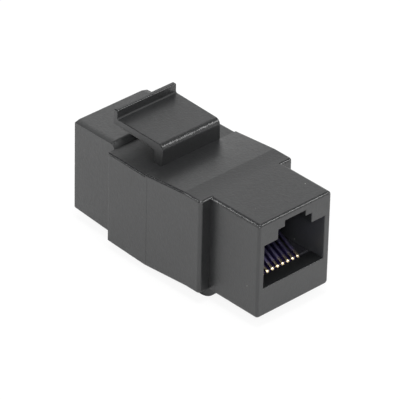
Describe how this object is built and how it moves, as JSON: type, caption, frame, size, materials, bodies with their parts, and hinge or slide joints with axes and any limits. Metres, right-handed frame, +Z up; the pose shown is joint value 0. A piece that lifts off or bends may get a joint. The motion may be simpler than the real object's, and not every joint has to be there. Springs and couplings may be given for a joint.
{
  "type": "ethernet feed-through coupler",
  "caption": "Keystone-format 8P8C feed-through coupler: jack to jack, with a wide shoulder, a bottom catch and a springy snap latch that hold it in a wall-plate window.",
  "frame": {"origin": "under the middle of the coupler's box, level with the lowest line of the bottom catch", "axes": "+Y along the coupler from the front port to the rear port, +Z up through the latch, +X to the right as seen from the front port"},
  "size_m": [0.0182, 0.0392, 0.0217],
  "materials": {
    "housing_plastic": "satin moulded ABS, near black",
    "carrier_plastic": "moulded nylon, black",
    "contact_gold": "gold-plated phosphor bronze wire",
    "board_laminate": "glass-epoxy laminate with solder mask"
  },
  "bodies": {
    "coupler": {"main_housing": "housing_plastic", "rear_housing": "housing_plastic", "front_contact_carrier": "carrier_plastic", "rear_contact_carrier": "carrier_plastic", "circuit_board": "board_laminate", "front_contact_1": "contact_gold", "front_contact_2": "contact_gold", "front_contact_3": "contact_gold", "front_contact_4": "contact_gold", "front_contact_5": "contact_gold", "front_contact_6": "contact_gold", "front_contact_7": "contact_gold", "front_contact_8": "contact_gold", "rear_contact_1": "contact_gold", "rear_contact_2": "contact_gold", "rear_contact_3": "contact_gold", "rear_contact_4": "contact_gold", "rear_contact_5": "contact_gold", "rear_contact_6": "contact_gold", "rear_contact_7": "contact_gold", "rear_contact_8": "contact_gold"},
    "latch": {"latch_arm": "housing_plastic"}
  },
  "joints": [
    {"name": "latch_flex", "type": "hinge", "parent": "coupler", "child": "latch", "pos_m": [0, 0.0039, 0.01648], "axis": [-1, 0, 0], "range_deg": [0, 12], "stiffness_Nm_per_rad": 0.25}
  ]
}
